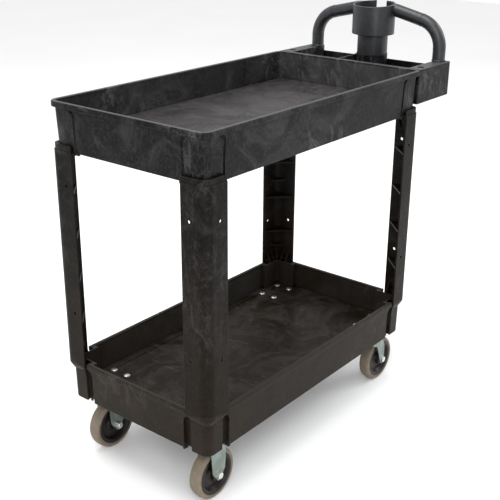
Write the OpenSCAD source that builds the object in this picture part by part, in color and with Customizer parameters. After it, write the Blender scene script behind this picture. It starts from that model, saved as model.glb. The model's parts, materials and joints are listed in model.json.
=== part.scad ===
// Two-tray service trolley: deep moulded trays on four angle legs, a handle box with storage bins,
// a push handle with a cup holder, two fixed casters at the front and two swivel casters at the handle end.
// The trolley stands on z = 0, the handle is at +X, and the origin is below the middle of the outline.

/* [Trays] */
// Length of the top tray
tray_l = 840; // [800:5:880]
// Width of the top tray
tray_w = 458; // [440:2:480]
// Height of the top rim above the ground
rim_z = 890; // [870:5:910]
// Height of the bottom rim above the ground
low_rim_z = 262; // [260:1:264]
// Depth of both trays, from the rim to the floor
tray_depth = 75; // [72:1:77]
// Height of the top tray's skirt
skirt_h = 110; // [108:1:113]
// Height of the bottom tray's skirt
low_skirt_h = 106; // [104:1:108]
// How far the top skirt leans in towards its lower edge
skirt_lean = 4.5; // [3.5:0.5:5.5]
// How far the bottom skirt leans in towards its lower edge
low_skirt_lean = 2; // [1:0.5:3]
// How much smaller the bottom tray is on each side
low_inset = 2.5; // [2:0.5:3]
// Outer corner radius of the trays
corner_r = 24; // [23:1:26]
// Wall thickness of the trays
wall_t = 4; // [3.5:0.5:4]

/* [Legs] */
// Width of each leg flange
flange_w = 67; // [64:1:68]
// Wall thickness of the legs
leg_t = 4; // [4:0.5:5]
// Height above the ground of the legs' lower end
leg_foot_z = 246; // [245:1:248]
// Distance of the accessory holes from the leg's corner
hole_from_corner = 46; // [40:1:50]
// Radius of the accessory holes
hole_r = 4.2; // [3:0.1:4.5]

/* [Handle box] */
// Length of the handle box beyond the tray
box_l = 162; // [156:1:170]
// Width of the handle box
box_w = 448; // [444:1:450]
// Height of the handle box
box_h = 88; // [80:1:96]
// Depth of the storage bins
bin_depth = 72; // [60:1:74]
// Width of the solid pad at each end of the handle box
pad_w = 39; // [38:1:44]
// Radius of the tool holes in the pads
tool_hole_r = 9; // [7:0.5:10]

/* [Push handle] */
// Radius of the handle tube
arm_r = 17; // [15:0.5:18]
// Distance of each handle foot from the middle
arm_y = 196; // [194:0.5:197]
// Bend radius of the handle tube
bend_r = 72; // [60:1:74]
// Rise of the handle tube towards the cup holder, in degrees
arm_rise = 13; // [10:0.5:14]
// Outer radius of the cup holder
cup_r = 58; // [56:1:60]
// Outer radius of the post under the cup holder
post_r = 41.5; // [38:0.5:43]
// Width of the slot in the cup holder
cup_slot = 30; // [20:1:34]

/* [Casters] */
// Radius of the wheels
wheel_r = 63.5; // [62:0.5:64]
// Width of the wheels
wheel_w = 32; // [28:1:34]
// Radius of the wheel core under the tread
core_r = 52; // [48:1:54]
// Distance of the caster plates from the ends of the tray
caster_in = 80; // [76:1:86]
// Distance of the wheels from the middle
caster_y = 167; // [164:1:170]
// How far a swivel wheel trails behind its kingpin
trail = 38; // [34:1:40]
// Bolt spacing of a caster plate along the trolley
bolt_dx = 76; // [74:1:80]
// Bolt spacing of a caster plate across the trolley
bolt_dy = 45; // [44:1:50]

/* [Hidden] */
$fn = 64;
eps = 0.01;

// Names of the corners and of the two sides, in the order that the placing modules use
CORNERS = ["front_left", "front_right", "rear_left", "rear_right"];
SIDES = ["left", "right"];

// Colours
black = [0.13, 0.13, 0.13];
core_black = [0.09, 0.08, 0.08];
tread_grey = [0.55, 0.52, 0.48];
zinc = [0.70, 0.74, 0.74];

// Main places along the trolley
cup_from_box_end = 38;
overall_l = tray_l + box_l + cup_r - cup_from_box_end;
x_front = -overall_l / 2;
x_rear = x_front + tray_l;
x_box_end = x_rear + box_l;
tray_cx = x_front + tray_l / 2;
cup_x = x_box_end - cup_from_box_end;
arm_x = x_box_end - 19;
box_z = rim_z - box_h;

// Rim bead and floors
bead_w = 10.5;
bead_h = 13;
bead_round = 3;
bead_lip = 6;
skirt_r_less = 2;
floor_t = 5;
top_floor_z = rim_z - tray_depth;
low_floor_z = low_rim_z - tray_depth;

// Legs
leg_top_z = rim_z - skirt_h;
collar_h = 15;
collar_step = 2;
collar_t = 7.5;
tongue_in = 17;
tongue_t = 4;
tongue_l = 28;
tongue_side = 55;
tongue_r = 17;
spigot_in = 6.3;
fin_t = 3;
fin_places = [33, 52];
fin_full = 17;
fin_h = 47;
gusset_t = 4;
gusset_places = [112, 219, 325, 432];
ledge_places = [58, 263];
ledge_h = 6;
hole_heights = [leg_foot_z + 144, leg_top_z - 77];

// Corner sockets of the trays
socket_in = tongue_in + tongue_t + 0.5;
socket_t = 3.5;
socket_end = 84;
lip_t = 6;
lip_drop = 10;
lip_bevel = 5;
arch_top_z = low_rim_z;
arch_side_z = low_rim_z - 13;
arch_half = flange_w / sqrt(2);
arch_r = (pow(arch_half, 2) + pow(arch_top_z - arch_side_z, 2)) / (2 * (arch_top_z - arch_side_z));
seam = 0.3;
leg_room = flange_w + 3.5;
groove_from = 59;
groove_w = 23;
groove_deep = 10;
top_groove_w = 7;
top_groove_turn = 14;
top_groove_deep = 3;
top_tab_from = 66;
top_tab_w = 14;
top_tab_t = 7;
tab_back = 12.5;
tab_w = 5;
tab_drop = 6;
// Where the top tray's grooves start, for each corner
top_groove_from = [63.5, 72.5, 75, 75];

// Casters
plate_t = 3;
plate_top_z = 161;
plate_l = 98;
plate_w = 69;
bolt_r = 4;
fork_t = 3;
fork_gap = 40;
hub_w = 39;
sleeve_r = 7;
axle_r = 5;
run_gap = 0.05;
crown_z = 140;
race_r = 23;
ball_r = 3;
ball_count = 16;
kingpin_r = 6;

// ---------------------------------------------------------------- placing

function side_x(c) = c < 2 ? -1 : 1;
function side_y(c) = c % 2 == 0 ? -1 : 1;

// Puts a shape drawn with its outer corner at the origin, reaching inwards along +x and +y, on corner c
module at_corner(c)
    translate([tray_cx + side_x(c) * tray_l / 2, side_y(c) * tray_w / 2, 0])
        mirror([side_x(c) > 0 ? 1 : 0, 0, 0])
            mirror([0, side_y(c) > 0 ? 1 : 0, 0])
                children();

// Centre of a caster plate
function caster_x(c) = side_x(c) < 0 ? x_front + caster_in : x_rear - caster_in;
module at_caster(c)
    translate([caster_x(c), side_y(c) * caster_y, 0])
        children();

// Centre of a wheel, with the local +y pointing away from the middle of the trolley
module at_wheel(c)
    translate([caster_x(c) + (side_x(c) > 0 ? trail : 0), side_y(c) * caster_y, wheel_r])
        mirror([0, side_y(c) < 0 ? 1 : 0, 0])
            children();

// ---------------------------------------------------------------- shared shapes

// Prism along X whose section is a trapezoid with half widths b0 below and b1 above
module wedge_slab(l, b0, b1, h)
    rotate([90, 0, 90])
        linear_extrude(l, center = true)
            polygon([[-b0, 0], [b0, 0], [b1, h], [-b1, h]]);

// Rounded block whose sides lean: l by w with corner radius r1 at z1, corner radius r0 at z0
module leaning_block(l, w, z0, z1, r0, r1) {
    cx = l / 2 - r1;
    cy = w / 2 - r1;
    h = z1 - z0;
    translate([0, 0, z0]) {
        for (x = [-cx, cx], y = [-cy, cy])
            translate([x, y, 0])
                cylinder(h = h, r1 = r0, r2 = r1);
        wedge_slab(2 * cx, cy + r0, cy + r1, h);
        rotate([0, 0, 90])
            wedge_slab(2 * cy, cx + r0, cx + r1, h);
    }
}

// Square from a to b on both axes, with its first corner rounded
module corner_square(a, b, r) {
    translate([a + r, a])
        square([b - a - r, b - a]);
    translate([a, a + r])
        square([b - a, b - a - r]);
    translate([a + r, a + r])
        circle(r);
}

// Angle section: flanges of thickness t from a out to b, with a rounded outer corner
module angle_section(a, t, b, r)
    difference() {
        corner_square(a, b, r);
        corner_square(a + t, b + 1, max(r - t, 1));
    }

// Repeats a shape on the other flange of a corner
module both_flanges() {
    children();
    mirror([1, -1, 0])
        children();
}

// Hexagonal prism for nuts and bolt heads, with its flats 2 * r apart
module hex_prism(r, h)
    cylinder(h = h, r = r / cos(30), $fn = 6);

// ---------------------------------------------------------------- trays

// Section of the rim bead, with its outer face at u = 0
module bead_section() {
    translate([-bead_w, 0])
        square([bead_w, bead_h - bead_round]);
    translate([-bead_w + bead_round, 0])
        square([bead_w - 2 * bead_round, bead_h]);
    for (u = [-bead_w + bead_round, -bead_round])
        translate([u, bead_h - bead_round])
            circle(bead_round);
}

// Rim bead round a tray of l by w
module rim_bead(l, w, rim) {
    cx = l / 2 - corner_r;
    cy = w / 2 - corner_r;
    translate([0, 0, rim - bead_h]) {
        for (q = [0:3])
            translate([(q == 0 || q == 3 ? 1 : -1) * cx, (q < 2 ? 1 : -1) * cy, 0])
                rotate([0, 0, 90 * q])
                    rotate_extrude(angle = 90)
                        translate([corner_r, 0])
                            bead_section();
        for (s = [0, 180])
            rotate([0, 0, s]) {
                translate([0, w / 2, 0])
                    rotate([90, 0, 90])
                        linear_extrude(2 * cx, center = true)
                            bead_section();
                translate([l / 2, 0, 0])
                    rotate([90, 0, 180])
                        linear_extrude(2 * cy, center = true)
                            mirror([1, 0])
                                bead_section();
            }
    }
}

// Open tub with leaning walls, a floor part way up its skirt, and a bead round its rim
module tub(l, w, rim, h, lean) {
    slope = lean / h;
    floor_z = rim - tray_depth;
    under_z = floor_z - floor_t;
    outer_r = corner_r - skirt_r_less;
    inner_r = outer_r - wall_t;
    inner_l = l - 2 * (bead_lip + wall_t);
    inner_w = w - 2 * (bead_lip + wall_t);
    under_in = slope * (rim - under_z);
    difference() {
        leaning_block(l - 2 * bead_lip, w - 2 * bead_lip, rim - h, rim - bead_round - 1,
                      outer_r - lean, outer_r);
        leaning_block(inner_l, inner_w, floor_z, rim, inner_r - slope * tray_depth, inner_r);
        leaning_block(inner_l - 2 * under_in, inner_w - 2 * under_in, rim - h - 1, under_z,
                      inner_r - lean, inner_r - under_in);
    }
    rim_bead(l, w, rim);
}

// Ribs under a tray floor: long ones and cross ones, hanging down by drop
module floor_ribs(l, w, under_z, drop, long_places, cross_places) {
    rib_t = 3;
    for (y = long_places)
        translate([-l / 2, y - rib_t / 2, under_z - drop])
            cube([l, rib_t, drop + 1]);
    for (x = cross_places)
        translate([x - rib_t / 2, -w / 2, under_z - drop])
            cube([rib_t, w, drop + 1]);
}

// Slot cut into a leaning face, whose upper end turns towards the corner with radius turn.
// x runs along the face, away from the corner, and top and low are measured down from the rim.
module face_groove(face_in, lean_deg, from, width, top, low, deep, turn)
    translate([0, face_in, 0])
        rotate([lean_deg, 0, 0])
            rotate([90, 0, 0])
                translate([0, 0, -deep])
                    linear_extrude(deep + 14) {
                        translate([from, -low])
                            square([width, low - top - turn]);
                        translate([from + width - turn, -top - turn])
                            intersection() {
                                difference() {
                                    circle(turn);
                                    circle(turn - width);
                                }
                                square(turn + 1);
                            }
                    }

// Tab that hangs below the skirt at a groove
module skirt_tab(face_in, from, width, deep, skirt_z)
    translate([from, face_in, skirt_z - tab_drop])
        cube([width, deep, tab_drop + 4]);

module top_tray() color(black) {
    lean_deg = atan(skirt_lean / skirt_h);
    under_z = top_floor_z - floor_t;
    skirt_z = rim_z - skirt_h;
    difference() {
        union() {
            translate([tray_cx, 0, 0])
                tub(tray_l, tray_w, rim_z, skirt_h, skirt_lean);
            // Flat pad on the rear wall that the handle box is screwed to
            translate([x_rear - 10, -box_w / 2 + 30, box_z + 6])
                cube([10, box_w - 60, box_h - 12]);
            // Inner walls of the leg sockets, below the floor
            for (c = [0:3])
                at_corner(c)
                    translate([0, 0, skirt_z + 3])
                        linear_extrude(under_z - skirt_z - 2)
                            angle_section(socket_in, socket_t, flange_w + 4, 14);
            translate([tray_cx, 0, 0])
                floor_ribs(tray_l - 80, tray_w - 60, under_z, 16, [-110, 0, 110], [-280, -140, 0, 140, 280]);
            for (c = [0:3])
                at_corner(c)
                    both_flanges()
                        skirt_tab(bead_lip + skirt_lean + 1, top_tab_from, top_tab_w, top_tab_t,
                                  skirt_z);
        }
        // Grooves that frame each corner panel
        for (c = [0:3])
            at_corner(c)
                translate([0, 0, rim_z])
                    both_flanges()
                        face_groove(bead_lip, lean_deg, top_groove_from[c], top_groove_w,
                                    bead_h + 1, skirt_h + tab_drop + 2, top_groove_deep,
                                    top_groove_turn);
        // Screw holes for the handle box
        for (y = box_screw_places)
            translate([x_rear + eps, y, box_screw_z])
                rotate([0, -90, 0])
                    cylinder(h = box_screw_grip, r = box_screw_r);
    }
}

// Leg socket of the bottom tray, as a solid block to be hollowed
module low_socket_block()
    translate([0, 0, low_floor_z - 2])
        linear_extrude(tray_depth + 2 - 1)
            difference() {
                corner_square(low_inset + 8, socket_end, 20);
                corner_square(socket_in + socket_t, socket_end + 1, 6);
            }

// Solid below the arch that divides a leg's foot from the bottom tray, grown by an amount
module foot_arch(grow)
    rotate([0, 0, 45])
        translate([-5, 0, arch_top_z - arch_r])
            rotate([0, 90, 0])
                cylinder(h = 2 * flange_w, r = arch_r + grow, $fn = 128);

// Profile of the lip that stands up in front of a leg's foot
module lip_profile(u0)
    polygon([
        [u0 + low_inset + bead_lip, leg_foot_z - lip_drop], [u0 + tongue_in - 1, leg_foot_z - lip_drop],
        [u0 + tongue_in - 1, leg_foot_z], [u0 + lip_t, leg_foot_z], [u0 + lip_t, low_rim_z + 1],
        [u0, low_rim_z + 1], [u0, leg_foot_z + lip_bevel]
    ]);

// Lip round the corner of the bottom tray, with its outer face flush with the leg
module foot_lip()
    intersection() {
        union() {
            both_flanges()
                translate([corner_r, 0, 0])
                    rotate([90, 0, 90])
                        linear_extrude(flange_w - corner_r)
                            lip_profile(0);
            translate([corner_r, corner_r, 0])
                rotate([0, 0, 180])
                    rotate_extrude(angle = 90)
                        mirror([1, 0])
                            lip_profile(-corner_r);
        }
        foot_arch(0);
    }

module bottom_tray() color(black) {
    l = tray_l - 2 * low_inset;
    w = tray_w - 2 * low_inset;
    lean_deg = atan(low_skirt_lean / low_skirt_h);
    under_z = low_floor_z - floor_t;
    skirt_z = low_rim_z - low_skirt_h;
    skirt_in = low_inset + bead_lip + low_skirt_lean;
    difference() {
        union() {
            difference() {
                union() {
                    translate([tray_cx, 0, 0]) {
                        tub(l, w, low_rim_z, low_skirt_h, low_skirt_lean);
                        floor_ribs(l - 80, w - 60, under_z, 16, [-100, 0, 100], [-210, -70, 70, 210]);
                    }
                    for (c = [0:3]) {
                        at_corner(c) {
                            low_socket_block();
                            // Backing of the grooves below the floor, and the tab below the skirt
                            both_flanges() {
                                translate([groove_from - 4, skirt_in + 1, skirt_z + 1])
                                    cube([groove_w + 7, tab_back + 0.5, under_z - skirt_z]);
                                if (c == 0 || c == 3)
                                    skirt_tab(skirt_in + 1, groove_from + groove_w - 1, tab_w + 1, tab_back,
                                              skirt_z);
                                else
                                    skirt_tab(skirt_in + groove_deep + 1, groove_from - 2, tab_w + 2, 2.5,
                                              skirt_z);
                            }
                        }
                        // Blocks that the caster plates bear on
                        at_caster(c)
                            translate([-plate_l / 2 - 2, -plate_w / 2, plate_top_z])
                                cube([plate_l + 4, plate_w, under_z - plate_top_z + 1]);
                    }
                }
                // Room for the legs, through the rim
                for (c = [0:3])
                    at_corner(c)
                        translate([0, 0, leg_foot_z])
                            linear_extrude(low_rim_z - leg_foot_z + 1)
                                difference() {
                                    square(leg_room);
                                    corner_square(socket_in, leg_room + 1, 3);
                                }
            }
            for (c = [0:3])
                at_corner(c)
                    foot_lip();
        }
        for (c = [0:3]) {
            at_corner(c) {
                // Slot for the leg's tongue
                translate([0, 0, leg_foot_z - tongue_l - 6])
                    linear_extrude(tongue_l + 7)
                        angle_section(tongue_in - 0.3, tongue_t + 0.8, tongue_side + 2, tongue_r + 0.5);
                translate([0, 0, low_rim_z])
                    both_flanges()
                        face_groove(low_inset + bead_lip, lean_deg, groove_from, groove_w,
                                    low_rim_z - leg_foot_z, low_skirt_h + tab_drop + 2, groove_deep,
                                    groove_w + 1);
            }
            at_caster(c)
                plate_holes(bolt_r, plate_top_z - 1, low_floor_z + 1);
        }
    }
}

// ---------------------------------------------------------------- legs

// Fin that carries the load of a leg's tongue into its flange, drawn at z = 0 and pointing up
module leg_fin(from)
    translate([from - fin_t / 2, 0, 0])
        rotate([90, 0, 90])
            linear_extrude(fin_t)
                polygon([
                    [spigot_in, 0], [tongue_in + tongue_t, 0], [tongue_in + tongue_t, fin_full],
                    [leg_t, fin_h], [leg_t - 1, fin_h], [leg_t - 1, fin_full + 1], [spigot_in, fin_full + 1]
                ]);

// Shoulder, tongue and fins at one end of a leg, with the shoulder's outer face at z = 0
module leg_end() {
    linear_extrude(4)
        angle_section(spigot_in, tongue_in + tongue_t - spigot_in, tongue_side + 4, corner_r - spigot_in);
    translate([0, 0, -tongue_l])
        linear_extrude(tongue_l + 1)
            angle_section(tongue_in, tongue_t, tongue_side, tongue_r);
    both_flanges()
        for (p = fin_places)
            leg_fin(p);
    // Fin in the corner, with its screw boss
    difference() {
        union() {
            rotate([0, 0, 45])
                translate([0, -fin_t / 2, 0])
                    rotate([90, 0, 0])
                        translate([0, 0, -fin_t])
                            linear_extrude(fin_t)
                                polygon([
                                    [16.5, 0], [29, 0], [29, fin_full], [16.5, fin_h],
                                    [12.5, fin_h], [12.5, fin_full + 1], [16.5, fin_full + 1]
                                ]);
            corner_boss(5.5, 12);
        }
        corner_boss(2.5, 14);
    }
}

// Round boss on the diagonal of the corner
module corner_boss(r, l)
    rotate([0, 0, 45])
        translate([14.5, 0, fin_full + 9])
            rotate([0, 90, 0])
                cylinder(h = l, r = r);

// Inner skin at the lower end of a leg, which stands behind the tray's lip
module leg_spigot() {
    lip_h = low_rim_z + 1 - leg_foot_z;
    linear_extrude(lip_h + 6)
        angle_section(spigot_in, 3, tongue_side + 4, corner_r - spigot_in);
    translate([0, 0, lip_h + 2])
        linear_extrude(5)
            angle_section(leg_t - 1, spigot_in + 3 - leg_t, tongue_side + 5, corner_r - leg_t + 1);
}

module leg(c) color(black) at_corner(c)
    difference() {
        union() {
            // Outer skin, cut to an arch above the tray's lip
            difference() {
                translate([0, 0, leg_foot_z + 1])
                    linear_extrude(leg_top_z + 1.5 - leg_foot_z - 1)
                        angle_section(0, leg_t, flange_w, corner_r);
                foot_arch(seam);
            }
            translate([0, 0, leg_top_z - 4])
                linear_extrude(collar_h + 4)
                    angle_section(collar_step, collar_t, flange_w - 1, corner_r - collar_step);
            translate([0, 0, leg_foot_z]) {
                leg_end();
                leg_spigot();
            }
            translate([0, 0, leg_top_z])
                mirror([0, 0, 1])
                    leg_end();
            // Gussets across the inside of the angle
            for (g = gusset_places)
                translate([0, 0, leg_foot_z + g])
                    linear_extrude(gusset_t)
                        intersection() {
                            corner_square(leg_t - 1, flange_w, corner_r - leg_t + 1);
                            polygon([[0, 0], [flange_w + 1, 0], [0, flange_w + 1]]);
                        }
            for (g = ledge_places)
                translate([0, 0, leg_foot_z + g])
                    linear_extrude(ledge_h)
                        intersection() {
                            corner_square(leg_t - 1, 30, corner_r - leg_t + 1);
                            polygon([[0, 0], [38, 0], [0, 38]]);
                        }
        }
        // Accessory holes in both flanges
        for (z = hole_heights)
            both_flanges()
                translate([hole_from_corner, -1, z])
                    rotate([-90, 0, 0])
                        cylinder(h = leg_t + 4, r = hole_r);
    }

// ---------------------------------------------------------------- handle box and push handle

box_wall = 4.5;
box_corner_r = 8;
cheek_l = 11;
cheek_w = 22;
cheek_slant = 1.5;
rear_wall_drop = 15;
arm_socket_r = arm_r + 1.9;
arm_foot_z = rim_z - 60;
post_socket_r = post_r + 1.5;
post_foot_z = rim_z - bin_depth + 6;
post_seam_z = rim_z + 3;
box_screw_places = [-150, -75, 75, 150];
box_screw_z = rim_z - 40;
box_screw_r = 2.5;
box_screw_grip = 8;
handle_screw_r = 3;
handle_screw_flat = 5;
handle_screw_grip = 35;
tool_hole_x = x_rear + 32;
peg_hole_x = x_rear + 112;

// Outline of the handle box, set in by an amount
module box_plan(inset) {
    translate([x_rear + inset, -box_w / 2 + inset])
        square([box_l - box_corner_r - inset, box_w - 2 * inset]);
    for (y = [-1, 1])
        translate([x_box_end - box_corner_r, y * (box_w / 2 - box_corner_r)])
            circle(box_corner_r - inset);
    translate([x_box_end - box_corner_r - 1, -box_w / 2 + box_corner_r])
        square([box_corner_r + 1 - inset, box_w - 2 * box_corner_r]);
}

// Outline of the top rim, grown by an amount
module rim_plan(grow) {
    for (x = [-1, 1], y = [-1, 1])
        translate([tray_cx + x * (tray_l / 2 - corner_r), y * (tray_w / 2 - corner_r)])
            circle(corner_r + grow);
    translate([tray_cx, 0]) {
        square([tray_l + 2 * grow, tray_w - 2 * corner_r], center = true);
        square([tray_l - 2 * corner_r, tray_w + 2 * grow], center = true);
    }
}

// Cheeks of the handle box that reach forward round the tray's corners
module box_cheeks()
    difference() {
        for (s = [0, 1])
            mirror([0, s, 0])
                translate([0, 0, box_z])
                    linear_extrude(box_h)
                        polygon([
                            [x_rear - cheek_l, box_w / 2 - cheek_slant],
                            [x_rear - cheek_l + cheek_slant, box_w / 2],
                            [x_rear + 1, box_w / 2], [x_rear + 1, box_w / 2 - cheek_w],
                            [x_rear - cheek_l, box_w / 2 - cheek_w]
                        ]);
        translate([0, 0, rim_z - bead_h - 0.2])
            linear_extrude(bead_h + 1)
                rim_plan(0.1);
        translate([tray_cx, 0, 0])
            leaning_block(tray_l - 2 * bead_lip + 0.4, tray_w - 2 * bead_lip + 0.4,
                          rim_z - skirt_h, rim_z - 1,
                          corner_r - skirt_r_less - skirt_lean, corner_r - skirt_r_less);
    }

module handle_box() color(black) {
    bin_floor_z = rim_z - bin_depth - box_wall;
    pad_y = box_w / 2 - pad_w;
    difference() {
        union() {
            difference() {
                union() {
                    translate([0, 0, box_z])
                        linear_extrude(box_h)
                            box_plan(0);
                    box_cheeks();
                }
                // Everything inside the outer walls, between the pads
                translate([0, 0, box_z - 1])
                    linear_extrude(box_h + 2)
                        intersection() {
                            box_plan(box_wall);
                            translate([x_rear, -pad_y])
                                square([box_l, 2 * pad_y]);
                        }
                // Hollow of the pads, open below
                translate([0, 0, box_z - 1])
                    linear_extrude(box_h - box_wall + 1)
                        difference() {
                            box_plan(box_wall);
                            translate([x_rear, -pad_y - box_wall])
                                square([box_l, 2 * (pad_y + box_wall)]);
                        }
                // The rear wall is lower than the pads
                translate([x_box_end - 2 * box_corner_r, -pad_y, rim_z - rear_wall_drop])
                    cube([3 * box_corner_r, 2 * pad_y, rear_wall_drop + 1]);
            }
            // Floor of the bins
            translate([x_rear + 1, -pad_y - 1, bin_floor_z])
                cube([box_l - 3, 2 * pad_y + 2, box_wall]);
            // Divider between the bins
            translate([x_rear + 1, 33, bin_floor_z])
                cube([cup_x - x_rear - 20, 4, rim_z - 1 - bin_floor_z]);
            translate([cup_x, 0, bin_floor_z])
                cylinder(h = post_seam_z - bin_floor_z, r = post_socket_r);
            for (y = [-arm_y, arm_y])
                translate([arm_x, y, arm_foot_z - box_wall])
                    cylinder(h = rim_z - arm_foot_z, r = arm_socket_r);
        }
        // Sockets for the post and the two feet of the push handle
        translate([cup_x, 0, post_foot_z])
            cylinder(h = box_h, r = post_r);
        for (y = [-arm_y, arm_y]) {
            translate([arm_x, y, arm_foot_z])
                cylinder(h = box_h, r = arm_r);
            translate([arm_x, y, arm_foot_z - box_wall - 1])
                cylinder(h = box_wall + 2, r = handle_screw_r + 0.5);
        }
        // The sockets stop flush with the outer walls
        for (y = [-1, 1])
            translate([x_rear, y * (box_w / 2 + 10) - 10, box_z - 1])
                cube([box_l, 20, box_h + 2]);
        for (y = [-1, 1]) {
            translate([tool_hole_x, y * (box_w / 2 - pad_w / 2), rim_z - box_wall - 1])
                cylinder(h = box_wall + 2, r = tool_hole_r);
            translate([peg_hole_x, y * (box_w / 2 - pad_w / 2 - 4), rim_z - box_wall - 1])
                cylinder(h = box_wall + 2, r = 3.5);
        }
        for (y = box_screw_places)
            translate([x_rear - 1, y, box_screw_z])
                rotate([0, 90, 0])
                    cylinder(h = box_wall + 2, r = box_screw_r + 0.3);
    }
}

// One arm of the push handle: foot, bend, and the run up to the cup holder
module handle_arm() {
    turn = 90 - arm_rise;
    tangent = bend_r * tan(turn / 2);
    corner_z = arm_corner_z;
    run = (arm_y - 30) / cos(arm_rise) - tangent;
    translate([arm_x, arm_y, arm_foot_z])
        cylinder(h = corner_z - tangent - arm_foot_z + 1, r = arm_r);
    // Small flange that rests on the pad
    translate([arm_x, arm_y, rim_z])
        cylinder(h = 3, r = arm_socket_r - 0.2);
    translate([arm_x, arm_y - bend_r, corner_z - tangent])
        rotate([90, 0, 90])
            rotate_extrude(angle = turn)
                translate([bend_r, 0])
                    circle(arm_r + 0.05);
    translate([arm_x, arm_y - tangent * cos(arm_rise), corner_z + tangent * sin(arm_rise)])
        rotate([turn, 0, 0])
            translate([0, 0, -1])
                cylinder(h = run + 1, r = arm_r);
}

arm_corner_z = rim_z + 89;
cup_foot_z = rim_z + 56;
cup_top_z = rim_z + 139;
cup_front_drop = 7;
cup_wall = 5;
cup_slot_y = 9;

module push_handle() color(black)
    difference() {
        union() {
            handle_arm();
            mirror([0, 1, 0])
                handle_arm();
            translate([cup_x, 0, cup_foot_z])
                cylinder(h = cup_top_z - cup_foot_z, r = cup_r);
            translate([cup_x, 0, post_foot_z])
                cylinder(h = cup_foot_z - post_foot_z + 1, r = post_r);
        }
        // Bore of the cup holder and hollow of the post
        translate([cup_x, 0, cup_foot_z + 6])
            cylinder(h = box_h, r = cup_r - cup_wall);
        translate([cup_x, 0, post_foot_z - 1])
            cylinder(h = cup_foot_z - post_foot_z, r = post_r - cup_wall);
        // Slot that opens towards the person pushing
        translate([cup_x, cup_slot_y - cup_slot / 2, cup_foot_z + 12])
            cube([cup_r + 20, cup_slot, box_h]);
        // The rim of the cup holder slopes down away from the handle
        translate([cup_x + cup_r, 0, cup_top_z])
            rotate([0, -atan(cup_front_drop / (2 * cup_r)), 0])
                translate([-2 * cup_r - 20, -arm_y + 60, 0])
                    cube([2 * cup_r + 10, 2 * (arm_y - 60), 30]);
        for (y = [-arm_y, arm_y])
            translate([arm_x, y, arm_foot_z - 1])
                cylinder(h = handle_screw_grip + 1, r = handle_screw_r);
    }

// Screws up into the feet of the push handle
module handle_screws() color(zinc)
    for (y = [-arm_y, arm_y])
        translate([arm_x, y, arm_foot_z - box_wall]) {
            translate([0, 0, -5])
                hex_prism(handle_screw_flat, 5);
            translate([0, 0, -1])
                cylinder(h = handle_screw_grip + box_wall, r = handle_screw_r);
        }

// Screws from the bins into the rear wall of the top tray
module box_screws() color(zinc)
    for (y = box_screw_places)
        translate([x_rear + box_wall, y, box_screw_z])
            rotate([0, -90, 0]) {
                translate([0, 0, -3])
                    cylinder(h = 3, r = 5.5);
                translate([0, 0, -1])
                    cylinder(h = box_wall + box_screw_grip - 1, r = box_screw_r);
            }

// ---------------------------------------------------------------- casters

module plate_holes(r, z0, z1)
    for (x = [-1, 1], y = [-1, 1])
        translate([x * bolt_dx / 2, y * bolt_dy / 2, z0])
            cylinder(h = z1 - z0, r = r);

// Mounting plate with rounded corners
module caster_plate() {
    r = 6;
    translate([0, 0, plate_top_z - plate_t])
        linear_extrude(plate_t) {
            square([plate_l - 2 * r, plate_w], center = true);
            square([plate_l, plate_w - 2 * r], center = true);
            for (x = [-1, 1], y = [-1, 1])
                translate([x * (plate_l / 2 - r), y * (plate_w / 2 - r)])
                    circle(r);
        }
}

// Carriage bolts through the bottom tray and the caster plates
module caster_bolts() color(zinc)
    for (c = [0:3], x = [-1, 1], y = [-1, 1])
        at_caster(c)
            translate([x * bolt_dx / 2, y * bolt_dy / 2, 0]) {
                translate([0, 0, plate_top_z - 11])
                    cylinder(h = low_floor_z - plate_top_z + 12, r = bolt_r);
                // Domed head
                translate([0, 0, low_floor_z])
                    rotate_extrude()
                        polygon([[0, 0], [9, 0], [8.6, 1], [7, 2], [4.5, 2.7], [0, 3]]);
            }

module caster_nuts() color(zinc)
    for (c = [0:3], x = [-1, 1], y = [-1, 1])
        at_caster(c)
            translate([x * bolt_dx / 2, y * bolt_dy / 2, plate_top_z - plate_t - 6.5])
                difference() {
                    hex_prism(6.5, 6.5);
                    translate([0, 0, -1])
                        cylinder(h = 9, r = bolt_r);
                }

// One cheek of a fixed fork in the XZ plane, from the plate down to a point below the axle
module fixed_cheek_outline() {
    polygon([
        [-26, plate_top_z - plate_t + 1], [26, plate_top_z - plate_t + 1], [24, wheel_r + 40],
        [21, wheel_r + 10], [5, wheel_r - 12], [-5, wheel_r - 12], [-21, wheel_r + 10], [-24, wheel_r + 40]
    ]);
    translate([0, wheel_r - 9])
        circle(6);
}

// One cheek of a swivel fork, which leans back from the crown to the axle
module swivel_cheek_outline() {
    polygon([
        [-24, crown_z + fork_t], [30, crown_z + fork_t], [48, wheel_r + 42], [49, wheel_r + 20],
        [47, wheel_r], [trail + 4, wheel_r - 12], [trail - 4, wheel_r - 12], [trail - 10, wheel_r],
        [10, wheel_r + 48], [-22, crown_z - 12]
    ]);
    translate([trail, wheel_r - 8])
        circle(5.5);
    translate([trail, wheel_r])
        circle(11);
}

// Both cheeks of a fork, drilled for the axle
module cheeks(axle_x)
    difference() {
        for (s = [0, 1])
            mirror([0, s, 0])
                translate([0, fork_gap / 2 + fork_t, 0])
                    rotate([90, 0, 0])
                        linear_extrude(fork_t)
                            children();
        translate([axle_x, -fork_gap, wheel_r])
            rotate([-90, 0, 0])
                cylinder(h = 2 * fork_gap, r = axle_r);
    }

module fixed_fork(c) color(zinc) at_caster(c)
    difference() {
        union() {
            caster_plate();
            cheeks(0)
                fixed_cheek_outline();
        }
        plate_holes(bolt_r, plate_top_z - plate_t - 1, plate_top_z + 1);
    }

// Ring groove that the balls run in
module race_groove(z)
    translate([0, 0, z])
        rotate_extrude()
            translate([race_r, 0])
                circle(ball_r + run_gap);

ball_z = crown_z + fork_t + 2;

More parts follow.
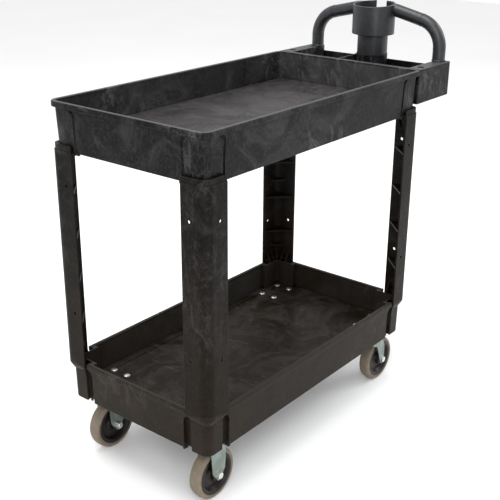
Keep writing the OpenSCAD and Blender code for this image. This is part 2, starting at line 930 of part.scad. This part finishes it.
module swivel_plate(c) color(zinc) at_caster(c)
    difference() {
        union() {
            caster_plate();
            // Upper race
            translate([0, 0, ball_z + 0.5])
                cylinder(h = plate_top_z - plate_t - ball_z, r = race_r + 5);
        }
        race_groove(ball_z);
        translate([0, 0, crown_z])
            cylinder(h = plate_top_z - crown_z + 1, r = kingpin_r);
        plate_holes(bolt_r, plate_top_z - plate_t - 1, plate_top_z + 1);
    }

module swivel_fork(c) color(zinc) at_caster(c)
    difference() {
        union() {
            // Crown, with a lip round the lower race
            translate([0, 0, crown_z])
                cylinder(h = ball_z - 0.5 - crown_z, r = race_r + 6);
            translate([0, 0, crown_z])
                linear_extrude(fork_t) {
                    translate([-24, -fork_gap / 2 - fork_t])
                        square([54, fork_gap + 2 * fork_t]);
                }
            cheeks(trail)
                swivel_cheek_outline();
        }
        race_groove(ball_z);
        translate([0, 0, crown_z - 1])
            cylinder(h = 20, r = kingpin_r + run_gap);
    }

// Riveted kingpin, with its flange below the crown
module kingpin(c) color(zinc) at_caster(c) {
    translate([0, 0, crown_z - 5])
        cylinder(h = plate_top_z - crown_z + 5, r = kingpin_r);
    translate([0, 0, crown_z - 5.3])
        cylinder(h = 5, r = 12);
}

module race_balls(c) color(zinc) at_caster(c)
    for (i = [0:ball_count - 1])
        rotate([0, 0, i * 360 / ball_count])
            translate([race_r, 0, ball_z])
                sphere(ball_r);

// ---------------------------------------------------------------- wheels

// Turns a profile given as [radius, offset along the axle] into a body about the axle
module turned_on_axle(points)
    rotate([-90, 0, 0])
        rotate_extrude($fn = 96)
            polygon(points);

module tread(c) color(tread_grey) at_wheel(c)
    difference() {
        turned_on_axle([
            [core_r, -wheel_w / 2 + 1], [wheel_r - 6, -wheel_w / 2], [wheel_r - 2.5, -wheel_w / 2 + 2.5],
            [wheel_r - 0.6, -wheel_w / 2 + 7], [wheel_r, 0], [wheel_r - 0.6, wheel_w / 2 - 7],
            [wheel_r - 2.5, wheel_w / 2 - 2.5], [wheel_r - 6, wheel_w / 2], [core_r, wheel_w / 2 - 1]
        ]);
    }

module wheel_core(c) color(core_black) at_wheel(c)
    difference() {
        turned_on_axle([
            [sleeve_r + run_gap, -hub_w / 2], [15, -hub_w / 2], [17, -wheel_w / 2 + 6], [22, -7],
            [38, -5], [43, -wheel_w / 2 + 2], [46, -wheel_w / 2], [core_r, -wheel_w / 2],
            [core_r, wheel_w / 2], [46, wheel_w / 2], [43, wheel_w / 2 - 2], [38, 5], [22, 7],
            [17, wheel_w / 2 - 6], [15, hub_w / 2], [sleeve_r + run_gap, hub_w / 2]
        ]);
    }

module axle_sleeve(c) color(zinc) at_wheel(c)
    rotate([-90, 0, 0])
        difference() {
            translate([0, 0, -fork_gap / 2])
                cylinder(h = fork_gap, r = sleeve_r);
            translate([0, 0, -fork_gap])
                cylinder(h = 2 * fork_gap, r = axle_r);
        }

module axle_bolt(c) color(zinc) at_wheel(c)
    rotate([-90, 0, 0]) {
        translate([0, 0, -fork_gap / 2 - fork_t - 11])
            cylinder(h = fork_gap + 2 * fork_t + 12, r = axle_r);
        translate([0, 0, fork_gap / 2 + fork_t])
            hex_prism(7.5, 6);
    }

module axle_nut(c) color(zinc) at_wheel(c)
    rotate([-90, 0, 0])
        translate([0, 0, -fork_gap / 2 - fork_t - 8])
            difference() {
                hex_prism(8, 8);
                translate([0, 0, -1])
                    cylinder(h = 10, r = axle_r);
            }

// ---------------------------------------------------------------- the trolley

top_tray();
bottom_tray();
handle_box();
push_handle();
handle_screws();
box_screws();
caster_bolts();
caster_nuts();
for (c = [0:3]) {
    leg(c);
    tread(c);
    wheel_core(c);
    axle_bolt(c);
    axle_nut(c);
    axle_sleeve(c);
}
for (s = [0:1]) {
    fixed_fork(s);
    swivel_plate(s + 2);
    swivel_fork(s + 2);
    kingpin(s + 2);
    race_balls(s + 2);
}
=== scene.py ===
import json
import math

import bpy
from mathutils import Matrix, Vector

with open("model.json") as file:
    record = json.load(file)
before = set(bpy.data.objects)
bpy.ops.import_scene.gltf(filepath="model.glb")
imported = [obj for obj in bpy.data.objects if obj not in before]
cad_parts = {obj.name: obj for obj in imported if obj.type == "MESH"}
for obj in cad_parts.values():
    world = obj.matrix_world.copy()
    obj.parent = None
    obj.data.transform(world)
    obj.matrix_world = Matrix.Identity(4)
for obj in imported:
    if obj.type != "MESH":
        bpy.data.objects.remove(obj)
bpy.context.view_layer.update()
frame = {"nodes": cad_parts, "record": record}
nodes = frame["nodes"]
scene = bpy.context.scene


# ---------------------------------------------------------------- node helpers

class Graph:
    """A material's node tree, with short calls for the nodes used here."""

    def __init__(self, name):
        self.mat = bpy.data.materials.new(name)
        self.mat.use_nodes = True
        self.tree = self.mat.node_tree
        self.tree.nodes.clear()
        self.out = self.node("ShaderNodeOutputMaterial")
        self.bsdf = self.node("ShaderNodeBsdfPrincipled")
        self.link(self.bsdf.outputs[0], self.out.inputs[0])
        coords = self.node("ShaderNodeTexCoord")
        self.coord = coords.outputs["Object"]
        self.normal = coords.outputs["Normal"]

    def node(self, kind, **props):
        n = self.tree.nodes.new(kind)
        for k, v in props.items():
            setattr(n, k, v)
        return n

    def link(self, a, b):
        self.tree.links.new(a, b)

    def put(self, socket, value):
        if isinstance(value, bpy.types.NodeSocket):
            self.link(value, socket)
        elif isinstance(value, tuple) and len(value) == 3 and socket.type == "RGBA":
            socket.default_value = (*value, 1.0)
        else:
            socket.default_value = value

    def math(self, op, a, b=0.0, c=0.0, clamp=False):
        n = self.node("ShaderNodeMath", operation=op, use_clamp=clamp)
        for s, v in zip(n.inputs, (a, b, c)):
            self.put(s, v)
        return n.outputs[0]

    def mapping(self, vector, scale=(1, 1, 1), rotation=(0, 0, 0), location=(0, 0, 0)):
        n = self.node("ShaderNodeMapping")
        self.put(n.inputs["Vector"], vector)
        n.inputs["Scale"].default_value = scale
        n.inputs["Rotation"].default_value = rotation
        n.inputs["Location"].default_value = location
        return n.outputs[0]

    def noise(self, vector, scale, detail=4.0, rough=0.5, distortion=0.0):
        n = self.node("ShaderNodeTexNoise")
        self.put(n.inputs["Vector"], vector)
        n.inputs["Scale"].default_value = scale
        n.inputs["Detail"].default_value = detail
        n.inputs["Roughness"].default_value = rough
        n.inputs["Distortion"].default_value = distortion
        return n

    def tone(self, vector, scale, detail=4.0, rough=0.5, distortion=0.0):
        """Grey noise between 0 and 1."""
        return self.noise(vector, scale, detail, rough, distortion).outputs["Fac"]

    def times(self, first, *others):
        for other in others:
            first = self.math("MULTIPLY", first, other)
        return first

    def ramp(self, value, lo, hi, a=0.0, b=1.0):
        n = self.node("ShaderNodeMapRange", interpolation_type="SMOOTHSTEP")
        self.put(n.inputs["Value"], value)
        for key, v in (("From Min", lo), ("From Max", hi), ("To Min", a), ("To Max", b)):
            self.put(n.inputs[key], v)
        return n.outputs[0]

    def mix(self, factor, a, b, blend="MIX"):
        n = self.node("ShaderNodeMix", data_type="RGBA", blend_type=blend)
        self.put(n.inputs[0], factor)
        self.put(n.inputs[6], a)
        self.put(n.inputs[7], b)
        return n.outputs[2]

    def bump(self, height, strength, distance, normal=None):
        n = self.node("ShaderNodeBump")
        n.inputs["Strength"].default_value = strength
        n.inputs["Distance"].default_value = distance
        self.put(n.inputs["Height"], height)
        if normal is not None:
            self.link(normal, n.inputs["Normal"])
        return n.outputs[0]

    def edge(self, radius):
        """1 near an edge or a corner, 0 on a flat face."""
        rounded = self.node("ShaderNodeBevel", samples=4)
        rounded.inputs["Radius"].default_value = radius
        geo = self.node("ShaderNodeNewGeometry")
        dot = self.node("ShaderNodeVectorMath", operation="DOT_PRODUCT")
        self.link(rounded.outputs[0], dot.inputs[0])
        self.link(geo.outputs["Normal"], dot.inputs[1])
        return self.ramp(dot.outputs["Value"], 0.999, 0.86), rounded.outputs[0]

    def crevice_shade_mask(self, reach):
        """1 deep in a groove, a gap or an inner corner, 0 on an open face: the mask for painted shade."""
        n = self.node("ShaderNodeAmbientOcclusion", samples=8)
        n.inputs["Distance"].default_value = reach
        return self.ramp(n.outputs["AO"], 0.80, 0.25)

    def part_of(self, vector, axis):
        sep = self.node("ShaderNodeSeparateXYZ")
        self.link(vector, sep.inputs[0])
        return sep.outputs[axis]

    def inside_tub(self, tub):
        """1 on the inner faces of a leaning tub with round corners, 0 on its outer faces."""
        x, y, z = (self.part_of(self.coord, axis) for axis in "XYZ")
        from_middle = self.math("SUBTRACT", x, tub["middle_x"])
        along = self.math("SUBTRACT", self.math("ABSOLUTE", from_middle), tub["half_l"])
        across = self.math("SUBTRACT", self.math("ABSOLUTE", y), tub["half_w"])
        along, across = (self.math("MAXIMUM", side, 0.0) for side in (along, across))
        far = self.math("SQRT", self.math("ADD", self.times(along, along), self.times(across, across)))
        down = self.math("SUBTRACT", tub["rim_z"], z)
        beyond = self.math("MULTIPLY_ADD", down, tub["lean"], self.math("SUBTRACT", far, tub["corner_r"]))
        facing = self.times(from_middle, self.part_of(self.normal, "X"))
        facing = self.math("MULTIPLY_ADD", y, self.part_of(self.normal, "Y"), facing)
        half_soft = 0.0008
        return self.times(self.ramp(beyond, half_soft, -half_soft), self.ramp(facing, 0.0, -0.02))

    def band(self, value, lo, hi, soft):
        """1 between lo and hi, fading out over soft on each side."""
        return self.times(self.ramp(value, lo - soft, lo), self.ramp(value, hi + soft, hi))


# ---------------------------------------------------------------- moulded plastic

# Each tub: middle along X, half length and half width to the centres of its corners, corner radius to the
# middle of the wall, height of the rim, lean of the wall
TOP_TUB = dict(middle_x=-0.091, half_l=0.392, half_w=0.201, corner_r=0.020, rim_z=0.890, lean=0.041)
LOW_TUB = dict(middle_x=-0.091, half_l=0.3895, half_w=0.1985, corner_r=0.020, rim_z=0.262, lean=0.019)
# Heights between which the rubbed and painted-light parts of the tubs lie
TOP_DECK_Z, TOP_WALL_Z, TOP_RIM_Z = (0.80, 0.83), (0.818, 0.884), (0.880, 0.90)
LOW_DECK_Z, LOW_WALL_Z, LOW_RIM_Z = (0.17, 0.20), (0.190, 0.256), (0.255, 0.27)
# Their colours: rub mixed with painted light on the decks and inner walls, a painted highlight on the rims
TOP_DECK_RUB_AND_PAINTED_LIGHT, TOP_DECK_SMEAR_AND_PAINTED_LIGHT = (0.036, 0.033, 0.0325), (0.060, 0.056, 0.055)
TOP_WALL_PAINTED_LIGHT_AND_RUB, TOP_RIM_PAINTED_HIGHLIGHT = (0.066, 0.066, 0.069), (0.085, 0.087, 0.090)
LOW_DECK_SMEAR_AND_PAINTED_LIGHT = (0.038, 0.034, 0.032)
LOW_WALL_PAINTED_LIGHT_AND_RUB, LOW_RIM_PAINTED_HIGHLIGHT = (0.034, 0.032, 0.030), (0.060, 0.055, 0.050)
# Painted shade: the near-black put into grooves, gaps and inner corners
GROOVE_PAINTED_SHADE = (0.0012, 0.0011, 0.0010)
# The brown cast of the lower parts: its share of the pale tone, and the heights where it is full and gone
LOW_CAST, LOW_CAST_Z = (0.24, 0.155, 0.07), (0.1, 0.95)
FOOT_CAST, FOOT_CAST_Z = (0.80, 0.70, 0.58), (0.16, 0.42)
# How far a face has to look to count as a crevice for the painted shade, and how wide an edge wears
CREVICE_SHADE_REACH = 0.014
WORN_RADIUS = 0.0016
# Turn and seed of each set of scratches
SCRATCH_SETS = ((0.35, 3.1), (1.25, 8.7), (2.3, 14.9))


def bent_coords(g):
    """Coordinates bent by a slow noise, so that the swirls curl."""
    bend = 0.34
    shift = g.node("ShaderNodeVectorMath", operation="MULTIPLY_ADD")
    g.link(g.noise(g.coord, 2.2, 3.0, 0.55).outputs["Color"], shift.inputs[0])
    shift.inputs[1].default_value = (bend, bend, bend)
    g.link(g.coord, shift.inputs[2])
    return shift.outputs[0]


def melt_swirls(g, bent, swirl):
    """Flow marks of the melt: soft clouds, with pale streaks and threads in some places only."""
    flow = g.mapping(bent, (5.0, 5.0, 8.5), (0.5, 0.35, 0.2))
    clouds = g.ramp(g.tone(flow, 1.5, 7.0, 0.62, 1.1), 0.44, 0.70)
    some = g.ramp(g.tone(g.mapping(g.coord, location=(4.0, 2.0, 1.0)), 3.1, 2.0), 0.50, 0.62)
    streak = g.tone(g.mapping(bent, (17.0, 17.0, 9.0), (0.7, -0.6, 0.3)), 1.0, 6.0, 0.62, 2.6)
    streaks = g.times(g.ramp(streak, 0.50, 0.70), some)
    thread = g.tone(g.mapping(bent, (9.0, 9.0, 5.0), (0.5, 0.8, 0.1)), 1.2, 4.0, 0.55, 1.8)
    ridge = g.math("ABSOLUTE", g.math("SUBTRACT", thread, 0.5))
    threads = g.times(g.ramp(ridge, 0.020, 0.0), some)
    pale = g.math("MULTIPLY_ADD", streaks, 0.75 * swirl, g.times(clouds, 0.30 * swirl))
    return clouds, g.math("MULTIPLY_ADD", threads, 0.30 * swirl, pale)


def low_cast(g, colour, light, warm):
    """Turns the colour browner towards the ground."""
    height = g.part_of(g.coord, "Z")
    full_z, gone_z = LOW_CAST_Z
    tint = tuple(c * k for c, k in zip(light, LOW_CAST))
    colour = g.mix(g.times(g.ramp(height, gone_z, full_z), warm), colour, tint)
    full_z, gone_z = FOOT_CAST_Z
    return g.mix(g.ramp(height, gone_z, full_z), colour, g.mix(1.0, colour, FOOT_CAST, "MULTIPLY"))


def scratches(g):
    """Fine scratches that run every way, as handling leaves them."""
    lines = None
    for turn, seed in SCRATCH_SETS:
        along = g.mapping(g.coord, (420.0, 16.0, 60.0), (0.2, 0.1, turn), (seed, seed, seed))
        line = g.ramp(g.tone(along, 1.0, 2.0), 0.70, 0.78)
        lines = line if lines is None else g.math("MAXIMUM", lines, line)
    return lines


def tub_rub_and_painted_light(g, colour, pale, bent, lines):
    """Decks paler where they face up, partly rub and partly painted light from above, with scratches; inner
    walls given painted light, most on those facing -X, broken up by rub patches; rim tops given a painted
    highlight.
    """
    height, upward = g.part_of(g.coord, "Z"), g.part_of(g.normal, "Z")
    up, side = g.ramp(upward, 0.55, 0.92), g.ramp(upward, 0.5, 0.2)
    rub_and_light_patches = g.ramp(g.tone(g.mapping(g.coord, (4.0, 7.0, 4.0)), 1.0, 6.0, 0.62, 0.6), 0.3, 0.7, 0.30, 1.0)
    smear_and_light_patches = g.ramp(g.tone(bent, 7.0, 7.0, 0.65, 1.4), 0.40, 0.62, 0.05, 1.0)
    top_deck = g.times(g.band(height, *TOP_DECK_Z, 0.01), up)
    # Painted light, partly rub: the top deck made paler where it faces up, broken up by rub and smear
    # patches
    colour = g.mix(g.times(top_deck, rub_and_light_patches, 0.75), colour, TOP_DECK_RUB_AND_PAINTED_LIGHT)
    colour = g.mix(g.times(top_deck, smear_and_light_patches, 0.40), colour, TOP_DECK_SMEAR_AND_PAINTED_LIGHT)
    low_deck = g.times(g.band(height, *LOW_DECK_Z, 0.01), up)
    # Painted light, partly rub: the lower deck made paler where it faces up, broken up by smear patches
    colour = g.mix(g.times(low_deck, smear_and_light_patches, 0.75), colour, LOW_DECK_SMEAR_AND_PAINTED_LIGHT)
    colour = g.mix(g.times(lines, g.math("ADD", top_deck, low_deck), 0.6), colour, pale)
    # Painted highlight: the top rim's upper faces made paler, as light from above and grazing reflection
    # make them
    top_rim = g.times(g.band(height, *TOP_RIM_Z, 0.006), up)
    colour = g.mix(g.times(top_rim, 0.55), colour, TOP_RIM_PAINTED_HIGHLIGHT)
    # Painted light on the upper tub's inner walls, most on those facing -X, broken up by rub patches
    lit_from_minus_x = g.ramp(g.part_of(g.normal, "X"), -0.3, -0.9, 0.22, 0.75)
    top_wall = g.times(g.inside_tub(TOP_TUB), g.band(height, *TOP_WALL_Z, 0.004), rub_and_light_patches, side)
    colour = g.mix(g.times(top_wall, lit_from_minus_x), colour, TOP_WALL_PAINTED_LIGHT_AND_RUB)
    # Painted light on the lower tub's inner walls, broken up by rub patches
    low_wall = g.times(g.inside_tub(LOW_TUB), g.band(height, *LOW_WALL_Z, 0.004), rub_and_light_patches, side)
    colour = g.mix(g.times(low_wall, 0.5), colour, LOW_WALL_PAINTED_LIGHT_AND_RUB)
    # Painted highlight: the lower rim's upper faces made paler, as light from above and grazing reflection
    # make them
    low_rim = g.times(g.band(height, *LOW_RIM_Z, 0.004), up)
    return g.mix(g.times(low_rim, 0.30), colour, LOW_RIM_PAINTED_HIGHLIGHT)


def moulded_plastic(name, dark, light, rough=0.5, swirl=1.0, grain=1.0, warm=0.0, scuffs=0.6, gloss=0.3,
                    decks=False, wear=0.5):
    """Foamed moulded plastic: flow swirls, a fine moulded grain, scuffs, paler edges and painted shade in
    crevices; with decks, rub and painted light on the tubs.
    """
    g = Graph(name)
    pale = tuple(min(1.0, c * 2.4) for c in light)
    bent = bent_coords(g)
    clouds, blend = melt_swirls(g, bent, swirl)
    mottle = g.tone(g.mapping(g.coord, (1.0, 1.0, 0.7)), 150.0, 6.0, 0.8)
    blend = g.math("ADD", blend, g.ramp(mottle, 0.44, 0.78, 0.0, 0.34))
    colour = g.mix(g.math("MINIMUM", blend, 1.0), dark, light)
    if warm:
        colour = low_cast(g, colour, light, warm)
    lines = scratches(g)
    patches = g.ramp(g.tone(g.coord, 9.0, 3.0), 0.45, 0.65)
    scratched = g.times(lines, patches, 0.35 * scuffs)
    colour = g.mix(scratched, colour, pale)
    dust = g.ramp(g.tone(g.coord, 260.0, 2.0), 0.62, 0.8)
    colour = g.mix(g.times(dust, 0.14), colour, pale)
    edge, rounded = g.edge(WORN_RADIUS)
    worn = g.times(edge, g.ramp(g.tone(g.coord, 35.0, 4.0), 0.3, 0.7, 0.25, 0.75))
    colour = g.mix(g.times(worn, wear), colour, pale)
    if decks:
        colour = tub_rub_and_painted_light(g, colour, pale, bent, lines)
    # Painted shade: grooves, gaps and inner corners darkened towards near-black, and their gloss lowered
    crevice_shade = g.crevice_shade_mask(CREVICE_SHADE_REACH)
    colour = g.mix(g.times(crevice_shade, 0.85), colour, GROOVE_PAINTED_SHADE)
    g.put(g.bsdf.inputs["Base Color"], colour)
    roughness = g.math("MULTIPLY_ADD", clouds, 0.10, rough - 0.05)
    roughness = g.math("MULTIPLY_ADD", g.tone(g.coord, 70.0, 3.0), 0.12, roughness)
    g.put(g.bsdf.inputs["Roughness"], g.math("MULTIPLY_ADD", scratched, 0.3, roughness))
    g.put(g.bsdf.inputs["Specular IOR Level"], g.math("MULTIPLY_ADD", crevice_shade, -0.9 * gloss, gloss))
    # Slow waves, orange peel, the mould's fine grain and the scratches
    n = g.bump(g.tone(g.coord, 16.0, 2.0, 0.5), 0.35 * grain, 0.004, rounded)
    n = g.bump(g.tone(g.coord, 210.0, 3.0, 0.5), 0.35 * grain, 0.0006, n)
    n = g.bump(g.tone(g.coord, 1150.0, 2.0, 0.6), 0.5 * grain, 0.00022, n)
    n = g.bump(lines, 0.12 * scuffs, 0.0002, n)
    g.link(n, g.bsdf.inputs["Normal"])
    return g.mat


# ---------------------------------------------------------------- steel, rubber and floor

PLATING_BLUE = (0.50, 0.62, 0.72)
PLATING_STRAW = (0.72, 0.66, 0.48)
STEEL_GRIME = (0.22, 0.20, 0.18)
STEEL_BRUSH = (40.0, 40.0, 900.0)


def plated_steel(name, base, rough=0.34, blue=0.5):
    """Zinc-plated pressed steel: faint blue and straw passivation, brushed grain, soft spangle."""
    g = Graph(name)
    spangle = g.ramp(g.tone(g.coord, 22.0, 4.0, 0.55, 0.6), 0.35, 0.65)
    colour = g.mix(spangle, tuple(c * 0.88 for c in base), base)
    cool = g.ramp(g.tone(g.coord, 34.0, 3.0), 0.45, 0.62)
    colour = g.mix(g.times(cool, 0.3 * blue), colour, PLATING_BLUE)
    straw = g.ramp(g.tone(g.mapping(g.coord, location=(3.0, 1.0, 7.0)), 28.0, 3.0), 0.55, 0.7)
    colour = g.mix(g.times(straw, 0.18), colour, PLATING_STRAW)
    grime = g.ramp(g.tone(g.coord, 60.0, 6.0, 0.65), 0.56, 0.72)
    colour = g.mix(g.times(grime, 0.35), colour, STEEL_GRIME)
    g.put(g.bsdf.inputs["Base Color"], colour)
    g.bsdf.inputs["Metallic"].default_value = 0.92
    lines = g.tone(g.mapping(g.coord, STEEL_BRUSH), 1.0, 3.0)
    roughness = g.math("MULTIPLY_ADD", lines, 0.16, rough - 0.06)
    g.put(g.bsdf.inputs["Roughness"], g.math("MULTIPLY_ADD", grime, 0.22, roughness))
    n = g.bump(lines, 0.16, 0.0002, g.edge(0.0007)[1])
    n = g.bump(g.tone(g.coord, 300.0, 3.0), 0.12, 0.0004, n)
    g.link(n, g.bsdf.inputs["Normal"])
    return g.mat


def wheel_rubber(name, base):
    """Grey non-marking tread: matte, faintly mottled, with dust worked into the running surface."""
    g = Graph(name)
    mottled = g.tone(g.coord, 48.0, 5.0, 0.6)
    colour = g.mix(g.ramp(mottled, 0.35, 0.68), tuple(c * 0.8 for c in base), tuple(c * 1.08 for c in base))
    dirt = g.ramp(g.tone(g.coord, 130.0, 6.0, 0.7), 0.52, 0.7)
    colour = g.mix(g.times(dirt, 0.4), colour, tuple(c * 0.42 for c in base))
    pale = g.ramp(g.tone(g.mapping(g.coord, location=(5.0, 2.0, 9.0)), 85.0, 5.0, 0.7), 0.58, 0.74)
    colour = g.mix(g.times(pale, 0.35), colour, tuple(min(1.0, c * 1.5) for c in base))
    g.put(g.bsdf.inputs["Base Color"], colour)
    g.put(g.bsdf.inputs["Roughness"], g.ramp(mottled, 0.3, 0.7, 0.55, 0.72))
    n = g.bump(g.tone(g.coord, 700.0, 3.0), 0.4, 0.0003, g.edge(0.0012)[1])
    n = g.bump(g.tone(g.coord, 90.0, 4.0), 0.2, 0.0008, n)
    g.link(n, g.bsdf.inputs["Normal"])
    return g.mat


def studio_floor():
    g = Graph("studio_floor")
    darker, paler = (0.86, 0.86, 0.86), (0.90, 0.90, 0.90)
    g.put(g.bsdf.inputs["Base Color"], g.mix(g.tone(g.coord, 1.4, 3.0), darker, paler))
    g.bsdf.inputs["Roughness"].default_value = 0.85
    g.bsdf.inputs["Specular IOR Level"].default_value = 0.1
    return g.mat


# ---------------------------------------------------------------- one material for each slot

DARK = (0.0018, 0.0018, 0.0019)
TRAY_LIGHT = (0.070, 0.069, 0.071)
LEG_LIGHT = (0.048, 0.044, 0.040)
HANDLE_DARK, HANDLE_LIGHT = (0.010, 0.0108, 0.0128), (0.034, 0.037, 0.044)
CORE_DARK, CORE_LIGHT = (0.006, 0.0045, 0.0037), (0.030, 0.019, 0.0135)
TREAD = (0.154, 0.121, 0.083)
ZINC = (0.21, 0.245, 0.22)
BOLT = (0.74, 0.75, 0.74)
MATERIALS = {
    "tray_plastic": moulded_plastic(
        "tray_plastic_moulded", DARK, TRAY_LIGHT, rough=0.42, warm=0.62, scuffs=0.8, gloss=0.10, decks=True),
    "leg_plastic": moulded_plastic(
        "leg_plastic_moulded", DARK, LEG_LIGHT, rough=0.42, swirl=0.8, warm=0.6, scuffs=0.4, gloss=0.075),
    "handle_plastic": moulded_plastic(
        "handle_plastic_moulded", HANDLE_DARK, HANDLE_LIGHT, rough=0.36, swirl=0.6, grain=0.7, scuffs=0.5,
        gloss=0.5, wear=0.2),
    "core_plastic": moulded_plastic(
        "core_plastic_moulded", CORE_DARK, CORE_LIGHT, rough=0.34, swirl=0.4, grain=0.5, scuffs=0.5,
        gloss=0.25),
    "tread_rubber": wheel_rubber("tread_rubber_grey", TREAD),
    "zinc_steel": plated_steel("zinc_steel_pressed", ZINC),
    "bolt_steel": plated_steel("bolt_steel_plated", BOLT, rough=0.30, blue=0.25),
}
for part in frame["record"]["subparts"]:
    obj = nodes[part["node"]]
    obj.data.materials.clear()
    obj.data.materials.append(MATERIALS[part["material_slot"]])


# ---------------------------------------------------------------- rounded edges

EDGE_WIDTH = {"top_tray": 0.0009, "bottom_tray": 0.0009, "handle_box": 0.0012, "push_handle": 0.0008}
WELD_GAP = 1e-5
SHARP_DEG = 32.0


def soften(obj, width):
    """Joins the faces of a CAD node and rounds its edges, by modifiers only."""
    weld = obj.modifiers.new("weld", "WELD")
    weld.merge_threshold = WELD_GAP
    smooth = obj.modifiers.new("edges", "BEVEL")
    smooth.width = width
    smooth.segments = 2
    smooth.limit_method = "ANGLE"
    smooth.angle_limit = math.radians(SHARP_DEG)
    smooth.use_clamp_overlap = False
    smooth.harden_normals = False
    smooth.miter_outer = "MITER_ARC"
    normals = obj.modifiers.new("normals", "WEIGHTED_NORMAL")
    normals.keep_sharp = False
    normals.weight = 60


# ---------------------------------------------------------------- stage, light and camera

FLOOR_Z = 0.0
FLOOR_HALF = 9.0
WORLD_STRENGTH = 1.0


def flat_floor():
    half = FLOOR_HALF
    corners = [(x, y, FLOOR_Z) for x, y in ((-half, -half), (half, -half), (half, half), (-half, half))]
    mesh = bpy.data.meshes.new("studio_floor")
    mesh.from_pydata(corners, [], [(0, 1, 2, 3)])
    obj = bpy.data.objects.new("studio_floor", mesh)
    obj.data.materials.append(studio_floor())
    scene.collection.objects.link(obj)


def area_light(name, place, target, size, power, colour=(1, 1, 1)):
    data = bpy.data.lights.new(name, "AREA")
    data.shape = "RECTANGLE"
    data.size, data.size_y = size
    data.energy = power
    data.color = colour
    obj = bpy.data.objects.new(name, data)
    obj.location = place
    obj.rotation_euler = (Vector(target) - Vector(place)).to_track_quat("-Z", "Y").to_euler()
    scene.collection.objects.link(obj)


def studio():
    world = bpy.data.worlds.new("studio_world")
    world.use_nodes = True
    back = world.node_tree.nodes["Background"]
    back.inputs[0].default_value = (1.0, 1.0, 1.0, 1.0)
    back.inputs[1].default_value = WORLD_STRENGTH
    scene.world = world
    area_light("key", (-3.0, -2.0, 3.0), (0, 0, 0.6), (1.8, 1.6), 66.0)
    area_light("top", (-0.4, 0.2, 3.6), (0, 0, 0.5), (2.6, 2.0), 90.0)
    area_light("rim", (2.8, -1.6, 2.4), (0.2, 0, 0.7), (1.6, 1.8), 40.0, (0.95, 0.98, 1.0))
    area_light("strip", (-1.25, -1.5, 0.55), (-0.4, 0, 0.6), (0.22, 1.0), 5.0, (0.92, 0.96, 1.0))
    scene.view_settings.view_transform = "Standard"
    scene.view_settings.look = "None"


CAMERA_PLACE = (-1.7667, -1.3424, 1.3265)
CAMERA_YAW, CAMERA_PITCH, CAMERA_ROLL = 38.6, -21.8, 0.4
CAMERA_LENS = 65.87
SENSOR_WIDTH = 36.0


def make_camera():
    data = bpy.data.cameras.new("camera")
    data.sensor_width = SENSOR_WIDTH
    data.lens = CAMERA_LENS
    data.clip_start, data.clip_end = 0.05, 50.0
    obj = bpy.data.objects.new("camera", data)
    yaw, pitch = math.radians(CAMERA_YAW), math.radians(CAMERA_PITCH)
    ahead = Vector((math.cos(yaw) * math.cos(pitch), math.sin(yaw) * math.cos(pitch), math.sin(pitch)))
    turn = ahead.to_track_quat("-Z", "Y").to_matrix().to_4x4()
    roll = Matrix.Rotation(math.radians(CAMERA_ROLL), 4, "Z")
    obj.matrix_world = Matrix.Translation(CAMERA_PLACE) @ turn @ roll
    scene.collection.objects.link(obj)
    scene.camera = obj


for node_name, edge_width in EDGE_WIDTH.items():
    soften(nodes[node_name], edge_width)
flat_floor()
studio()
make_camera()
